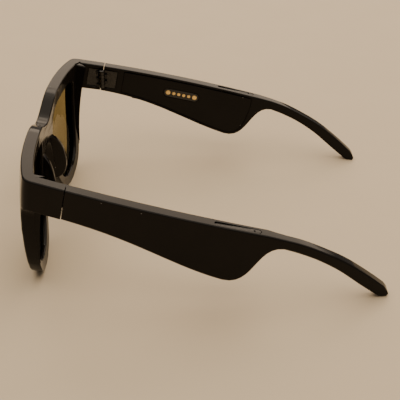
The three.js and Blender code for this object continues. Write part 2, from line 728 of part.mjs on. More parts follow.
const CONTACTS = [
  { y: CONTACT_FIRST_Y, r: CONTACT_BIG_R },
  ...Array.from({ length: CONTACT_SMALL }, (_, i) => ({
    y: CONTACT_FIRST_Y + CONTACT_END_PITCH + i * CONTACT_PITCH,
    r: CONTACT_SMALL_R,
  })),
  {
    y: CONTACT_FIRST_Y + 2 * CONTACT_END_PITCH + (CONTACT_SMALL - 1) * CONTACT_PITCH,
    r: CONTACT_BIG_R,
  },
];
const CONTACT_MID_Y = (CONTACTS[0].y + CONTACTS.at(-1).y) / 2;
const CONTACT_SPAN = CONTACTS.at(-1).y - CONTACTS[0].y;
const CONTACT_FACE_X = outerX(CONTACT_MID_Y) - TEMPLE_THICK;

// Flat insulating pad behind the contacts, or the hole for it when a clearance is given.
function contactPad(clearance = 0) {
  const width = 2 * (CONTACT_BIG_R + PAD_BORDER + clearance);
  const outline = movedStadium(CONTACT_SPAN + width, width, CONTACT_MID_Y, -CONTACT_DROP);
  const pad = prism(outline, 'side', CONTACT_FACE_X - clearance * 3,
    CONTACT_FACE_X + COVER_THICK + 0.2 + clearance);
  if (clearance) return pad;
  return CONTACTS.reduce((rest, { y, r }) => {
    const hole = new THREE.CylinderGeometry(r + CONTACT_GAP, r + CONTACT_GAP, 8, 20);
    hole.rotateZ(Math.PI / 2);
    hole.translate(CONTACT_FACE_X, y, -CONTACT_DROP);
    return rest.subtract(solid(hole));
  }, pad);
}

// Push button

const BUTTON_FACE_Z = bellyZ(BUTTON_Y) - BUTTON_PROUD;
const BUTTON_X = outerX(BUTTON_Y) - OUTER_WALL - CAVITY_DEPTH / 2;
const FLANGE_Z = bellyZ(BUTTON_Y) + CAVITY_MARGIN + FLANGE_LIFT;

function uprightStadium(length, width, low, high, x, y) {
  const options = { depth: high - low, bevelEnabled: false, curveSegments: 8 };
  const geometry = new THREE.ExtrudeGeometry(stadium(length, width), options);
  geometry.rotateZ(Math.PI / 2);
  geometry.translate(x, y, low);
  return solid(geometry);
}

function buttonPrism(clearance, below, above) {
  return uprightStadium(BUTTON_LENGTH + 2 * clearance, BUTTON_WIDTH + 2 * clearance,
    BUTTON_FACE_Z + below, BUTTON_FACE_Z + above, BUTTON_X, BUTTON_Y);
}

function button() {
  const flange = uprightStadium(BUTTON_LENGTH + 2 * FLANGE_BORDER,
    CAVITY_DEPTH - 2 * FLANGE_CLEARANCE, FLANGE_Z, FLANGE_Z + FLANGE_THICK, BUTTON_X, BUTTON_Y);
  return buttonPrism(0, 0, FLANGE_Z - BUTTON_FACE_Z + 0.1).add(flange);
}

// Solids of the standing pose

function mirrored(body) {
  return body.mirror([1, 0, 0]);
}

// Angle at which a plane touches both the front and the temple from below.
function restPitch(front, temple) {
  const lowest = (body, angle) => {
    const points = body.getMesh().vertProperties;
    let low = Infinity;
    for (let i = 0; i < points.length; i += 3) {
      const z = points[i + 2] * Math.cos(angle) - points[i + 1] * Math.sin(angle);
      low = Math.min(low, z);
    }
    return low;
  };
  let [low, high] = [0, Math.PI / 4];
  for (let i = 0; i < 40; i += 1) {
    const angle = (low + high) / 2;
    if (lowest(temple, angle) > lowest(front, angle)) low = angle;
    else high = angle;
  }
  return { angle: low, level: lowest(front, low) };
}

const rawFront = frontFrame();
const rawTemple = templeShell(false);
const rest = restPitch(rawFront, rawTemple);

// Grinds the small flats that the set stands on.
function onTable(body) {
  const below = new THREE.BoxGeometry(2 * FAR, 2 * FAR, FAR);
  below.translate(0, 0, rest.level + LAND_CUT - FAR / 2);
  below.rotateX(rest.angle);
  return body.subtract(solid(below));
}

// Materials

function material(color, roughness, metalness = 0) {
  return new THREE.MeshStandardMaterial({ color, roughness, metalness });
}

const gloss = material(0x0b0b0c, 0.12);
const tint = material(0x3a3324, 0.05);
const steel = material(0x8d8f92, 0.35, 1);
const darkSteel = material(0x2b2c2e, 0.4, 1);
const gold = material(0xd9a441, 0.25, 1);
const film = material(0x5a3a17, 0.5);
const foil = material(0x9a9ca0, 0.4, 0.6);
const board = material(0x0f3d26, 0.55);
const foam = material(0x1b1b1b, 0.95);
const satin = material(0x141415, 0.45);

// Assembly

const set = new THREE.Group();

function put(parent, name, shape, finish, side = 1) {
  const body = side < 0 ? mirrored(shape) : shape;
  const mesh = new THREE.Mesh(geometryOf(body), finish);
  mesh.name = name;
  parent.add(mesh);
  return mesh;
}

// Places a simple piece by its centre; the mirror image is at -x.
function place(parent, name, geometry, finish, side, [x, y, z], turn = 0) {
  const mesh = new THREE.Mesh(geometry, finish);
  mesh.name = name;
  mesh.position.set(side * x, y, z);
  mesh.rotation.z = -side * turn;
  parent.add(mesh);
  return mesh;
}

function bayX(y) {
  return outerX(y) - OUTER_WALL - CAVITY_DEPTH / 2;
}

function bayTurn(y) {
  return Math.atan((outerX(y + 5) - outerX(y - 5)) / 10);
}

function driver(flip) {
  const thick = CAVITY_DEPTH - 2 * DRIVER_CLEARANCE - MAGNET_THICK;
  const options = { depth: thick, bevelEnabled: false, curveSegments: 8 };
  const frame = new THREE.ExtrudeGeometry(stadium(DRIVER_LENGTH, DRIVER_HEIGHT), options);
  frame.translate(0, 0, -thick / 2);
  const magnet = new THREE.CylinderGeometry(MAGNET_R, MAGNET_R, MAGNET_THICK + 0.2, 24);
  magnet.rotateX(Math.PI / 2);
  magnet.translate(0, 0, flip * (thick / 2 + MAGNET_THICK / 2 - 0.1));
  const body = solid(frame).add(solid(magnet));
  return geometryOf(body).applyMatrix4(VIEWS.side);
}

function frontPieces() {
  const group = new THREE.Group();
  put(group, 'front_frame', onTable(rawFront), gloss);
  for (const [label, side] of [['left', 1], ['right', -1]]) {
    put(group, `lens_${label}`, lensBody(), tint, side);
    put(group, `hinge_front_leaf_${label}`, hingeLeaf(-1), steel, side);
    put(group, `hinge_screw_${label}`, hingeScrew(), steel, side);
  }
  put(group, 'link_ribbon', ribbonBody(RIBBON_THICK / 2, RIBBON_HEIGHT / 2, 1), film);
  return group;
}

function templePieces(label, side) {
  const group = new THREE.Group();
  const right = side < 0;
  const shell = onTable(right ? templeShell(true) : rawTemple);
  put(group, `temple_shell_${label}`, shell, gloss, side);
  put(group, `temple_cover_${label}`, templeCover(right), gloss, side);
  put(group, `hinge_temple_leaf_${label}`, hingeLeaf(1), steel, side);
  put(group, `arm_core_${label}`, rod(CORE_R, corePath(0.05, CORE_END)), darkSteel, side);
  put(group, `speaker_grille_${label}`, grille(), darkSteel, side);
  put(group, `speaker_gasket_${label}`, gasket(), foam, side);
  const ribbonSide = rectangle(SEAM_Y + SEAM_GAP, RIBBON_END_Y,
    -RIBBON_DROP - RIBBON_HEIGHT / 2, -RIBBON_DROP + RIBBON_HEIGHT / 2);
  put(group, `temple_ribbon_${label}`, templeSlice(ribbonSide,
    RIBBON_DEPTH - RIBBON_THICK / 2, RIBBON_DEPTH + RIBBON_THICK / 2), film, side);
  const driverDrop = CAVITY_MARGIN + GAP + GASKET_HEIGHT + GAP + DRIVER_HEIGHT / 2;
  place(group, `speaker_driver_${label}`, driver(-side), satin, side,
    [bayX(SLOT_MID_Y) + MAGNET_THICK / 2, SLOT_MID_Y - 1, topZ(SLOT_MID_Y) - driverDrop],
    bayTurn(SLOT_MID_Y));
  return group;
}

function leftTemple() {
  const group = templePieces('left', 1);
  const y = CELL_Y + CELL_LENGTH / 2;
  place(group, 'battery_cell', new THREE.BoxGeometry(CELL_THICK, CELL_LENGTH, CELL_HEIGHT),
    foil, 1, [bayX(y) - 0.15, y, -BAY_DROP - CELL_HEIGHT / 2], bayTurn(y));
  return group;
}

function rightTemple() {
  const group = templePieces('right', -1);
  const y = BOARD_Y + BOARD_LENGTH / 2;
  const boardX = outerX(y) - OUTER_WALL - 0.9 - BOARD_THICK / 2;
  place(group, 'circuit_board', new THREE.BoxGeometry(BOARD_THICK, BOARD_LENGTH, BOARD_HEIGHT),
    board, -1, [boardX, y, -BAY_DROP - BOARD_HEIGHT / 2], bayTurn(y));
  put(group, 'contact_pad', contactPad(), satin, -1);
  CONTACTS.forEach(({ y: contactY, r }, i) => {
    const contact = new THREE.CylinderGeometry(r, r, CONTACT_LENGTH, 20);
    contact.rotateZ(Math.PI / 2);
    place(group, `charging_contact_${i + 1}`, contact, gold, -1,
      [CONTACT_FACE_X + CONTACT_LENGTH / 2, contactY, -CONTACT_DROP]);
  });
  const micX = outerX(MIC_Y) - OUTER_WALL - 0.35 - MIC_THICK / 2;
  place(group, 'microphone', new THREE.BoxGeometry(MIC_THICK, MIC_LENGTH, MIC_HEIGHT), foil,
    -1, [micX, MIC_Y, -MIC_DROP], bayTurn(MIC_Y));
  const switchZ = FLANGE_Z + FLANGE_THICK + BUTTON_TRAVEL + 0.1 + SWITCH_HEIGHT / 2;
  const switchWidth = CAVITY_DEPTH - 2 * SWITCH_CLEARANCE;
  place(group, 'button_switch', new THREE.BoxGeometry(switchWidth, SWITCH_LENGTH,
    SWITCH_HEIGHT), steel, -1, [BUTTON_X, BUTTON_Y, switchZ]);
  put(group, 'push_button', button(), satin, -1);
  return group;
}

set.add(frontPieces(), leftTemple(), rightTemple());
set.rotation.x = -rest.angle;
set.updateMatrixWorld(true);
const box = new THREE.Box3().setFromObject(set, true);
const glasses = new THREE.Group();
glasses.add(set);
glasses.position.set(0, -(box.min.y + box.max.y) / 2, -box.min.z);

export default glasses;
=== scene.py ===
import json
import math

import bmesh
import bpy
from mathutils import Matrix, Vector

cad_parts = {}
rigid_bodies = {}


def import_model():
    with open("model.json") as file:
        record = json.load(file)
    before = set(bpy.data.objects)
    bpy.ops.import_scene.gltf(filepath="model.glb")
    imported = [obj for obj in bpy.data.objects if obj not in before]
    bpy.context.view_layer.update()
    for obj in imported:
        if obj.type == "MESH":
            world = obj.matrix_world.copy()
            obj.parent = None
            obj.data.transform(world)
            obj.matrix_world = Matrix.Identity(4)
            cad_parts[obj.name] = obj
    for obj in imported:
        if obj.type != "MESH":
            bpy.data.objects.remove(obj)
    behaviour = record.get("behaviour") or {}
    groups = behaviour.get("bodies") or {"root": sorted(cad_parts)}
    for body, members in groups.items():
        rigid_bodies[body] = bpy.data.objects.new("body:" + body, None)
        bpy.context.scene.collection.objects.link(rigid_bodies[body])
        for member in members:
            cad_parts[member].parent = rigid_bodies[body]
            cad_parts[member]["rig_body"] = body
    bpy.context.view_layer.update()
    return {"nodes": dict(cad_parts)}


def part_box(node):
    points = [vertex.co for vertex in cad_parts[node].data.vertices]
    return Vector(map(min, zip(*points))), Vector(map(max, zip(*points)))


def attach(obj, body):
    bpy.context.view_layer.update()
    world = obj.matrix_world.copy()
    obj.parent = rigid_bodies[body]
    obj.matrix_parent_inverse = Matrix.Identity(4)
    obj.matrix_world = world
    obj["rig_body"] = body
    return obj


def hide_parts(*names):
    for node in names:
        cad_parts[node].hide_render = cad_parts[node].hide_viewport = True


MM = 0.001

# Camera: a little behind the wearer's left side, looking down across both temples
CAMERA_PLACE = Vector((0.39259, 0.01025, 0.22473))
CAMERA_FORWARD = Vector((-0.8761, -0.0275, -0.4813))
CAMERA_UP = Vector((-0.4815, -0.0034, 0.8764))
CAMERA_LENS = 86.43
CAMERA_SENSOR = 36

# Table, dim room light and soft panels: name, place, aim, width, height, power, colour
TABLE_SIZE = 6
ROOM_COLOR = (0.80, 0.71, 0.60, 1)
ROOM_STRENGTH = 0.3
PANELS = (
    ("overhead", (-0.1, 0.1, 1.4), (0, 0, 0), 2.6, 2.6, 40, (1.0, 0.86, 0.68)),
    ("window", (-1.5, 0.1, 0.85), (0, 0, 0.04), 2.0, 0.9, 14, (1.0, 0.8, 0.6)),
)

# Rounding of the edges, in millimetres
BROW_ROUND = 0.8
LIP_ROUND = 0.4
TEMPLE_TOP_ROUND = 0.8
TEMPLE_LOW_ROUND = 1.2
TEMPLE_INNER_ROUND = 0.6
SEAM_ROUND = 0.12
COVER_ROUND = 0.15
LENS_ROUND = 0.25
METAL_ROUND = 0.08
TRIM_ROUND = 0.12
FILM_ROUND = 0.05
CELL_ROUND = 0.35
BOARD_ROUND = 0.08
SPEAKER_ROUND = 0.08
MICROPHONE_ROUND = 0.06
SWITCH_ROUND = 0.1
BUTTON_ROUND = 0.2
STUD_ROUND = 0.04

# Which edges of the front are rounded, in millimetres: least width of a rim's wall and of a
# lens opening's lip, least height of the skin and width of the top, how far out the endpieces
# begin, and how near the seam an edge belongs to it
RIM_WIDTH = 2
LIP_WIDTH = 0.9
SKIN_HEIGHT = 1
LEVEL_WIDTH = 1.5
ENDPIECE_X = 58
SEAM_WIDTH = 1
SEAM_WALL = 6
LENS_TOP_MARGIN = 1

# Which edges of the temples are rounded, in millimetres: least width of a wall, greatest depth
# of an outer edge and least depth of an inner one, and the stretch that gives the outer face
TEMPLE_WALL = 1.4
OUTER_DEPTH = 1
INNER_DEPTH = 5.2
NEARBY = 4

# Corners nearer to each other than this are one, in millimetres
MERGE_DISTANCE = 0.002

# Steps worked into a face: border of each inset, then how far it rises or sinks (millimetres)
CONTACT_STEPS = ((0.12, -0.06), (0.08, 0), (0.1, 0.08))
SPEAKER_STEPS = ((0.9, -0.3), (0.3, 0.15), (0.5, 0.05), (0.3, -0.25), (1.4, -0.25))
MICROPHONE_STEPS = ((0.2, 0.05), (0.5, 0), (0.1, -0.3))
CHIP_STEPS = ((0.15, 0), (0.05, 0.12))
CELL_LIP_BORDER = 0.5
CELL_LIP_LENGTH = 0.8

# Chips: place along the board, height on it, length, height, finish (millimetres)
CHIPS = (
    (-11.0, 1.2, 6.4, 3.4, "foil"),
    (-2.6, 0.6, 5.0, 4.0, "satin_black"),
    (4.2, -1.0, 3.0, 2.6, "satin_black"),
    (9.2, 0.8, 3.6, 3.0, "satin_black"),
    (14.4, 0.0, 2.4, 4.2, "hinge_steel"),
)
CHIP_THICK = 0.36
BOARD_HALF_THICK = 0.4
SOLDER_THICK = 0.02

# Angle at which the set leans back on the table, and the angles that tell faces apart
STANDING_PITCH = math.radians(12.16)
FLAT = math.radians(1.2)
SHARP = math.radians(32)

# How squarely a face looks along a direction, from 0 (edge on) to 1 (straight along it)
FACING = 0.9
SEAM_SKIN_FACING = 0.99
SEAM_WALL_FACING = 0.2
FRONT_SKIN_FACING = 0.7
RIM_WALL_FACING = 0.5
LEVEL_WALL_FACING = 0.7
UPRIGHT_SKIN_FACING = 0.6
REAR_SKIN_FACING = 0.3
TEMPLE_SKIN_FACING = 0.8
TEMPLE_WALL_FACING = 0.5
TEMPLE_END_FACING = 0.9
TEMPLE_TOP_FACING = 0.3

# Directions: forwards is away from the wearer
FORWARDS = Vector((0, -1, 0))
RIGHT_TEMPLE_OUT = Vector((-1, 0, 0))
RIGHT_TEMPLE_IN = Vector((1, 0, 0))

SIDES = (("left", 1), ("right", -1))

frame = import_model()
BODY_OF = {name: node["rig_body"] for name, node in frame["nodes"].items()}


# Mesh helpers

def choose(piece):
    bpy.ops.object.select_all(action="DESELECT")
    piece.select_set(True)
    bpy.context.view_layer.objects.active = piece


def edit(piece, elements="FACE"):
    choose(piece)
    bpy.ops.object.mode_set(mode="EDIT")
    bpy.ops.mesh.select_mode(type=elements)


def done():
    bpy.ops.object.mode_set(mode="OBJECT")


def copy_of(node, name):
    """A copy of a CAD node with its triangles joined into whole flat faces."""
    piece = bpy.data.objects.new(name, frame["nodes"][node].data.copy())
    piece.data.materials.clear()
    bpy.context.scene.collection.objects.link(piece)
    edit(piece)
    bpy.ops.mesh.select_all(action="SELECT")
    bpy.ops.mesh.customdata_custom_splitnormals_clear()
    bpy.ops.mesh.remove_doubles(threshold=MERGE_DISTANCE * MM)
    bpy.ops.mesh.dissolve_limited(angle_limit=FLAT)
    done()
    return piece


def span(face, axis):
    places = [vertex.co[axis] for vertex in face.verts]
    return max(places) - min(places)


def bevel_where(piece, radius, segments, wanted):
    """Rounds the sharp edges that wanted(skin face, side face, middle) picks."""
    edit(piece, "EDGE")
    bpy.ops.mesh.select_all(action="DESELECT")
    mesh = bmesh.from_edit_mesh(piece.data)
    for edge in mesh.edges:
        if len(edge.link_faces) != 2 or edge.calc_face_angle() < SHARP or not edge.is_convex:
            continue
        first, second = edge.link_faces
        middle = (edge.verts[0].co + edge.verts[1].co) / 2
        if wanted(first, second, middle) or wanted(second, first, middle):
            edge.select = True
    bmesh.update_edit_mesh(piece.data)
    bpy.ops.mesh.bevel(offset=radius * MM, segments=segments, affect="EDGES",
                       clamp_overlap=False)
    done()


def choose_face(piece, direction):
    """Opens a piece for editing with the one broadest face towards a direction chosen."""
    edit(piece)
    bpy.ops.mesh.select_all(action="DESELECT")
    mesh = bmesh.from_edit_mesh(piece.data)
    facing = [face for face in mesh.faces if face.normal.dot(direction) > FACING]
    max(facing, key=lambda face: face.calc_area()).select = True
    bmesh.update_edit_mesh(piece.data)


def work_steps(piece, direction, steps):
    """Insets the broad face towards a direction, step by step, each one raised or sunk."""
    choose_face(piece, direction)
    for border, depth in steps:
        bpy.ops.mesh.inset(thickness=border * MM, depth=0, use_boundary=True)
        bpy.ops.transform.translate(value=direction * depth * MM)
    done()


def apply_modifier(piece, kind, **settings):
    choose(piece)
    modifier = piece.modifiers.new(kind.lower(), kind)
    for key, value in settings.items():
        setattr(modifier, key, value)
    bpy.ops.object.modifier_apply(modifier=modifier.name)


def round_edges(piece, radius, segments):
    apply_modifier(piece, "BEVEL", width=radius * MM, segments=segments, limit_method="ANGLE",
                   angle_limit=SHARP, use_clamp_overlap=True)


def smooth(piece):
    choose(piece)
    bpy.ops.object.shade_smooth_by_angle(angle=SHARP)
    apply_modifier(piece, "WEIGHTED_NORMAL", keep_sharp=True, weight=60)


def finish_piece(piece, body, slot, *nodes):
    """Smooths a piece, gives it its finish and its body, and hides the CAD nodes it stands
    for.
    """
    smooth(piece)
    piece.data.materials.clear()
    piece.data.materials.append(FINISHES[slot])
    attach(piece, body)
    if nodes:
        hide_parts(*nodes)


# Shader helpers

def new_material(name):
    material = bpy.data.materials.new(name)
    material.use_nodes = True
    tree = material.node_tree
    return material, tree, tree.nodes["Principled BSDF"]


def set_inputs(node, values):
    for key, value in values.items():
        node.inputs[key].default_value = value


def object_place(tree, stretch=(1, 1, 1)):
    """Object coordinates, stretched along each axis."""
    coordinates = tree.nodes.new("ShaderNodeTexCoord")
    mapping = tree.nodes.new("ShaderNodeMapping")
    mapping.inputs["Scale"].default_value = stretch
    tree.links.new(coordinates.outputs["Object"], mapping.inputs["Vector"])
    return mapping.outputs["Vector"]


def noise(tree, place, scale, detail=3.0, roughness=0.5):
    node = tree.nodes.new("ShaderNodeTexNoise")
    tree.links.new(place, node.inputs["Vector"])
    set_inputs(node, {"Scale": scale, "Detail": detail, "Roughness": roughness})
    return node.outputs["Fac"]


def ranged(tree, value, from_low, from_high, to_low, to_high):
    node = tree.nodes.new("ShaderNodeMapRange")
    tree.links.new(value, node.inputs["Value"])
    set_inputs(node, {"From Min": from_low, "From Max": from_high,
                      "To Min": to_low, "To Max": to_high})
    return node.outputs["Result"]


def calculated(tree, operation, first, second):
    node = tree.nodes.new("ShaderNodeMath")
    node.operation = operation
    for socket, value in zip(node.inputs, (first, second)):
        if isinstance(value, (int, float)):
            socket.default_value = value
        else:
            tree.links.new(value, socket)
    return node.outputs["Value"]


def mixed(tree, share, first, second):
    node = tree.nodes.new("ShaderNodeMix")
    node.data_type = "RGBA"
    tree.links.new(share, node.inputs["Factor"])
    for socket, value in ((node.inputs[6], first), (node.inputs[7], second)):
        if isinstance(value, tuple):
            socket.default_value = value
        else:
            tree.links.new(value, socket)
    return node.outputs[2]


def bumped(tree, shader, height, strength, distance):
    node = tree.nodes.new("ShaderNodeBump")
    set_inputs(node, {"Strength": strength, "Distance": distance * MM})
    tree.links.new(height, node.inputs["Height"])
    tree.links.new(node.outputs["Normal"], shader.inputs["Normal"])


def specks(tree, place, scale, rarity, size):
    """Scattered dots: 1 on a dot, 0 elsewhere. Rarity is the share of cells that hold none."""
    node = tree.nodes.new("ShaderNodeTexVoronoi")
    tree.links.new(place, node.inputs["Vector"])
    set_inputs(node, {"Scale": scale, "Randomness": 1.0})
    parts = tree.nodes.new("ShaderNodeSeparateColor")
    tree.links.new(node.outputs["Color"], parts.inputs["Color"])
    chosen = calculated(tree, "GREATER_THAN", parts.outputs["Red"], rarity)
    near = calculated(tree, "LESS_THAN", node.outputs["Distance"], size)
    return calculated(tree, "MULTIPLY", chosen, near)


def gloss_black():
    """Polished black moulding: faint smears, hairlines along it and a few specks of dust."""
    material, tree, shader = new_material("gloss_black")
    place = object_place(tree)
    dust = specks(tree, place, 900, 0.985, 0.14)
    smears = noise(tree, place, 55, 4, 0.6)
    hairlines = noise(tree, object_place(tree, (1, 0.05, 1)), 1600, 2, 0.6)
    rough = calculated(tree, "ADD", ranged(tree, smears, 0.35, 0.7, 0.07, 0.15),
                       ranged(tree, hairlines, 0.6, 0.75, 0.0, 0.09))
    tree.links.new(calculated(tree, "ADD", rough, calculated(tree, "MULTIPLY", dust, 0.5)),
                   shader.inputs["Roughness"])
    body = mixed(tree, smears, (0.005, 0.0045, 0.0045, 1), (0.011, 0.009, 0.008, 1))
    tree.links.new(mixed(tree, dust, body, (0.3, 0.29, 0.27, 1)), shader.inputs["Base Color"])
    bumped(tree, shader, noise(tree, place, 420, 2, 0.5), 0.05, 0.05)
    set_inputs(shader, {"IOR": 1.5, "Specular IOR Level": 0.12})
    return material


def satin_black():
    """Black plastic with a fine moulded grain."""
    material, tree, shader = new_material("satin_black")
    place = object_place(tree)
    grain = noise(tree, place, 2600, 3, 0.6)
    tree.links.new(ranged(tree, grain, 0.3, 0.7, 0.36, 0.52), shader.inputs["Roughness"])
    tree.links.new(mixed(tree, noise(tree, place, 180, 3, 0.5), (0.014, 0.014, 0.015, 1),
                         (0.024, 0.023, 0.022, 1)), shader.inputs["Base Color"])
    bumped(tree, shader, grain, 0.2, 0.03)
    return material


def tinted_lens():
    """Clear plastic with a brown tint and slight finger smears."""
    material, tree, shader = new_material("tinted_lens")
    place = object_place(tree)
    tree.links.new(mixed(tree, noise(tree, place, 22, 2, 0.5), (0.20, 0.165, 0.075, 1),
                         (0.225, 0.185, 0.09, 1)), shader.inputs["Base Color"])
    smears = noise(tree, place, 90, 4, 0.65)
    tree.links.new(ranged(tree, smears, 0.4, 0.75, 0.015, 0.05), shader.inputs["Roughness"])
    set_inputs(shader, {"Transmission Weight": 1.0, "IOR": 1.04})
    return material


def brushed_metal(name, color, dark, rough_low, rough_high, stretch):
    """Metal brushed along one direction, a little darker where it is worn."""
    material, tree, shader = new_material(name)
    brush = noise(tree, object_place(tree, stretch), 3000, 3, 0.6)
    worn = noise(tree, object_place(tree), 500, 3, 0.6)
    tree.links.new(ranged(tree, brush, 0.3, 0.7, rough_low, rough_high),
                   shader.inputs["Roughness"])
    tree.links.new(mixed(tree, worn, dark, color), shader.inputs["Base Color"])
    bumped(tree, shader, brush, 0.12, 0.02)
    set_inputs(shader, {"Metallic": 1.0})
    return material


def flex_film():
    """Amber film with copper tracks along it."""
    material, tree, shader = new_material("flex_film")
    place = object_place(tree, (0, 0, 1))
    wave = tree.nodes.new("ShaderNodeTexWave")
    wave.bands_direction = "Z"
    tree.links.new(place, wave.inputs["Vector"])
    set_inputs(wave, {"Scale": 900, "Distortion": 0.0})
    tracks = ranged(tree, wave.outputs["Fac"], 0.45, 0.6, 0.0, 1.0)
    tree.links.new(mixed(tree, tracks, (0.17, 0.07, 0.018, 1), (0.34, 0.17, 0.05, 1)),
                   shader.inputs["Base Color"])
    tree.links.new(ranged(tree, tracks, 0, 1, 0.45, 0.3), shader.inputs["Roughness"])
    bumped(tree, shader, tracks, 0.4, 0.03)
    return material


def foam_rubber():
    """Dull open-celled foam."""
    material, tree, shader = new_material("foam")
    place = object_place(tree)
    node = tree.nodes.new("ShaderNodeTexVoronoi")
    tree.links.new(place, node.inputs["Vector"])
    set_inputs(node, {"Scale": 5000})
    cells = node.outputs["Distance"]
    tree.links.new(mixed(tree, cells, (0.03, 0.03, 0.03, 1), (0.012, 0.012, 0.012, 1)),
                   shader.inputs["Base Color"])
    set_inputs(shader, {"Roughness": 0.95})
    bumped(tree, shader, cells, 0.8, 0.1)
    return material


def foil_wrap():
    """Creased aluminium foil."""
    material, tree, shader = new_material("foil")
    place = object_place(tree)
    creases = noise(tree, place, 260, 5, 0.6)
    tree.links.new(ranged(tree, creases, 0.3, 0.7, 0.24, 0.42), shader.inputs["Roughness"])
    tree.links.new(mixed(tree, creases, (0.42, 0.43, 0.45, 1), (0.62, 0.63, 0.65, 1)),
                   shader.inputs["Base Color"])
    bumped(tree, shader, creases, 0.35, 0.08)
    set_inputs(shader, {"Metallic": 0.85})
    return material


def board_green():
    """Solder mask over tracks, with bare gold vias."""
    material, tree, shader = new_material("board_green")
    place = object_place(tree)
    cells = tree.nodes.new("ShaderNodeTexVoronoi")
    cells.distance = "MANHATTAN"
    tree.links.new(place, cells.inputs["Vector"])
    set_inputs(cells, {"Scale": 1300, "Randomness": 0.35})
    tracks = ranged(tree, cells.outputs["Distance"], 0.3, 0.42, 0.0, 1.0)
    vias = specks(tree, place, 1500, 0.86, 0.16)
    mask = mixed(tree, tracks, (0.006, 0.06, 0.03, 1), (0.014, 0.12, 0.055, 1))
    tree.links.new(mixed(tree, vias, mask, (0.7, 0.5, 0.22, 1)), shader.inputs["Base Color"])
    set_inputs(shader, {"Roughness": 0.35})
    bumped(tree, shader, tracks, 0.3, 0.03)
    return material


def table_top():
    """Plain pale top with a faint mottle."""
    material, tree, shader = new_material("pale_table")
    grain = noise(tree, object_place(tree), 30, 4, 0.5)
    tree.links.new(mixed(tree, grain, (0.60, 0.49, 0.35, 1), (0.63, 0.52, 0.375, 1)),
                   shader.inputs["Base Color"])
    set_inputs(shader, {"Roughness": 0.75})
    return material


FINISHES = {
    "gloss_black": gloss_black(),
    "satin_black": satin_black(),
    "tinted_lens": tinted_lens(),
    "hinge_steel": brushed_metal("hinge_steel", (0.07, 0.07, 0.072, 1),
                                 (0.03, 0.03, 0.031, 1), 0.22, 0.4, (1, 1, 0.1)),
    "dark_metal": brushed_metal("dark_metal", (0.06, 0.058, 0.056, 1),
                                (0.025, 0.025, 0.026, 1), 0.3, 0.5, (1, 0.1, 1)),
    "gold_contact": brushed_metal("gold_contact", (0.95, 0.72, 0.34, 1),
                                  (0.80, 0.55, 0.22, 1), 0.16, 0.34, (1, 1, 1)),
    "flex_film": flex_film(),
    "foam": foam_rubber(),
    "foil": foil_wrap(),
    "board_green": board_green(),
}


# Stage: camera, table and lights

def place_camera():
    data = bpy.data.cameras.new("camera")
    data.lens = CAMERA_LENS
    data.sensor_width = CAMERA_SENSOR
    data.clip_start = 0.01
    camera = bpy.data.objects.new("camera", data)
    back = -CAMERA_FORWARD.normalized()
    right = CAMERA_UP.cross(back).normalized()
    up = back.cross(right)
    camera.matrix_world = Matrix.Translation(CAMERA_PLACE) @ Matrix(
        (right, up, back)).transposed().to_4x4()
    bpy.context.scene.collection.objects.link(camera)
    bpy.context.scene.camera = camera


def add_panel(name, place, target, width, height, power, color):
    data = bpy.data.lights.new(name, "AREA")
    data.shape = "RECTANGLE"
    data.size = width
    data.size_y = height
    data.energy = power
    data.color = color
    panel = bpy.data.objects.new(name, data)
    panel.location = place
    aim = Vector(target) - Vector(place)
    panel.rotation_euler = aim.to_track_quat("-Z", "Y").to_euler()
    bpy.context.scene.collection.objects.link(panel)


def make_stage():
    bpy.ops.object.select_all(action="DESELECT")
    bpy.ops.mesh.primitive_plane_add(size=TABLE_SIZE, location=(0, 0, 0))
    floor = bpy.context.object
    floor.name = "table_top"
    floor.data.materials.append(table_top())
    world = bpy.data.worlds.new("studio")
    bpy.context.scene.world = world
    world.use_nodes = True
    set_inputs(world.node_tree.nodes["Background"], {"Color": ROOM_COLOR,
                                                     "Strength": ROOM_STRENGTH})
    for panel in PANELS:
        add_panel(*panel)


place_camera()
make_stage()


# Pieces

# Plane of the seam between the front and the temples, as the set stands
SEAM_NORMAL = Vector((0, math.cos(STANDING_PITCH), -math.sin(STANDING_PITCH)))
SEAM_PLACE = min(SEAM_NORMAL.dot(vertex.co)
                 for vertex in frame["nodes"]["temple_shell_left"].data.vertices)
LENS_TOP_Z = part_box("lens_left")[1].z + LENS_TOP_MARGIN * MM


def off_seam(middle):
    return abs(SEAM_NORMAL.dot(middle) - SEAM_PLACE) > SEAM_WIDTH * MM


def seam_edge(skin, wall, middle):
    """Edges where a broad wall meets the seam."""
    across = max(span(wall, 0), span(wall, 1), span(wall, 2))
    return (not off_seam(middle) and across > SEAM_WALL * MM
            and abs(skin.normal.dot(SEAM_NORMAL)) > SEAM_SKIN_FACING
            and abs(wall.normal.dot(SEAM_NORMAL)) < SEAM_WALL_FACING)


def moulded(node, name, radius, slot, segments=2):
    """A CAD node with its edges rounded as the real piece has them."""
    piece = copy_of(node, name)
    round_edges(piece, radius, segments)
    finish_piece(piece, BODY_OF[node], slot, node)


